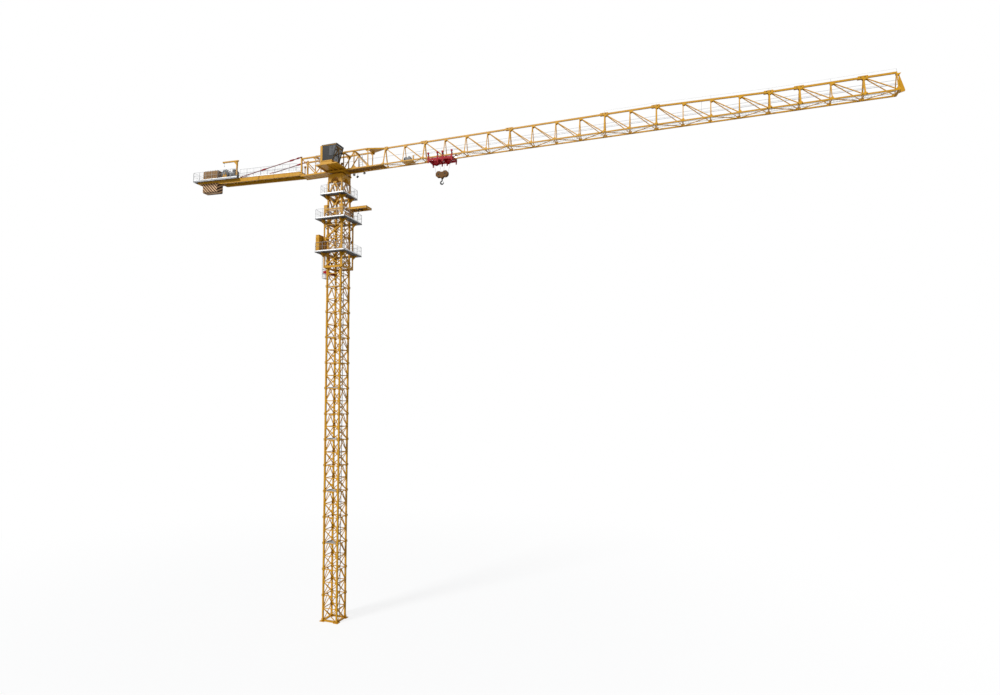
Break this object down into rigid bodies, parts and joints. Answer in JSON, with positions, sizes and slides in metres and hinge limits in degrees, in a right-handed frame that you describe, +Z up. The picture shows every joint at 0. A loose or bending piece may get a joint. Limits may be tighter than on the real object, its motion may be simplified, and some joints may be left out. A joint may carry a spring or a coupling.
{
  "type": "tower crane, 1:2 scale model",
  "caption": "Flat-top tower crane at half size: lattice mast with climbing frame, slewing head, lattice jib with trolley and hook, ballasted counter-jib, cab.",
  "frame": {"origin": "centre of the mast's base frame, on the ground", "axes": "+Z up the mast, +X along the jib, the cab on the -Y side"},
  "size_m": [39.065, 2.35, 27.9585],
  "materials": {
    "yellow_paint": "weathered semi-gloss",
    "red_paint": "semi-gloss",
    "grey_paint": "semi-gloss",
    "galvanised": "dull zinc",
    "deck_plate": "dull chequer plate",
    "bare_steel": "ground",
    "dark_steel": "oiled",
    "wire_rope": "greased",
    "cab_panels": "satin",
    "dark_glass": "tinted",
    "ballast_paint": "yellow and dark brown warning stripes"
  },
  "bodies": {
    "mast": {"base_frame": "yellow_paint", "mast_legs": "yellow_paint", "mast_side_near": "yellow_paint", "mast_side_right": "yellow_paint", "mast_side_far": "yellow_paint", "mast_side_left": "yellow_paint", "ladder": "galvanised", "rest_decks": "galvanised", "climbing_yoke": "red_paint", "jack_rod": "bare_steel"},
    "climbing_frame": {"cage_legs": "yellow_paint", "cage_sides": "yellow_paint", "cage_crown": "yellow_paint", "monorail": "yellow_paint", "deck_panels": "deck_plate", "deck_railings": "galvanised", "power_pack": "yellow_paint", "hanging_platform": "galvanised", "jack_barrel": "red_paint", "support_legs": "yellow_paint", "support_braces": "yellow_paint", "support_box": "yellow_paint", "slewing_ring_fixed": "dark_steel"},
    "upper": {"slewing_ring_turning": "dark_steel", "slewing_platform": "yellow_paint", "head_lower_chords": "yellow_paint", "head_upper_frame": "yellow_paint", "head_sides": "yellow_paint", "jib_top_chord": "yellow_paint", "jib_lower_chords": "yellow_paint", "jib_sides": "yellow_paint", "jib_bottom_bracing": "yellow_paint", "jib_tip": "yellow_paint", "trolley_winch": "yellow_paint", "trolley_rope": "wire_rope", "counter_beams": "yellow_paint", "counter_bracing": "yellow_paint", "counter_deck": "deck_plate", "counter_railings": "galvanised", "ballast_slabs": "ballast_paint", "tie_rods": "red_paint", "winch_frame": "yellow_paint", "winch_drum": "grey_paint", "winch_motor": "grey_paint", "cab_deck": "yellow_paint", "cab_body": "cab_panels", "cab_glazing": "dark_glass"},
    "trolley": {"trolley_sides": "red_paint", "trolley_wheels": "bare_steel", "trolley_frame": "red_paint", "hoist_falls": "wire_rope"},
    "block": {"hook_block": "yellow_paint"},
    "hook": {"load_hook": "dark_steel"},
    "davit_arm": {"davit": "yellow_paint"}
  },
  "joints": [
    {"name": "climb", "type": "slide", "parent": "mast", "child": "climbing_frame", "axis": [0, 0, 1], "range_m": [0, 0.775]},
    {"name": "slew", "type": "hinge", "parent": "climbing_frame", "child": "upper", "pos_m": [0, 0, 26.2], "axis": [0, 0, 1], "continuous": true},
    {"name": "trolley_travel", "type": "slide", "parent": "upper", "child": "trolley", "axis": [1, 0, 0], "range_m": [-4.05, 20.55]},
    {"name": "hoist", "type": "slide", "parent": "trolley", "child": "block", "axis": [0, 0, 1], "range_m": [-24.6, 0], "deforming": ["hoist_falls"]},
    {"name": "hook_swivel", "type": "hinge", "parent": "block", "child": "hook", "pos_m": [6.65, 0, 25.1], "axis": [0, 0, 1], "continuous": true},
    {"name": "davit_turn", "type": "hinge", "parent": "upper", "child": "davit_arm", "pos_m": [-7.24779, -0.47, 26.93935], "axis": [0.0349, 0, 0.9994], "range_deg": [-170, 170]}
  ]
}
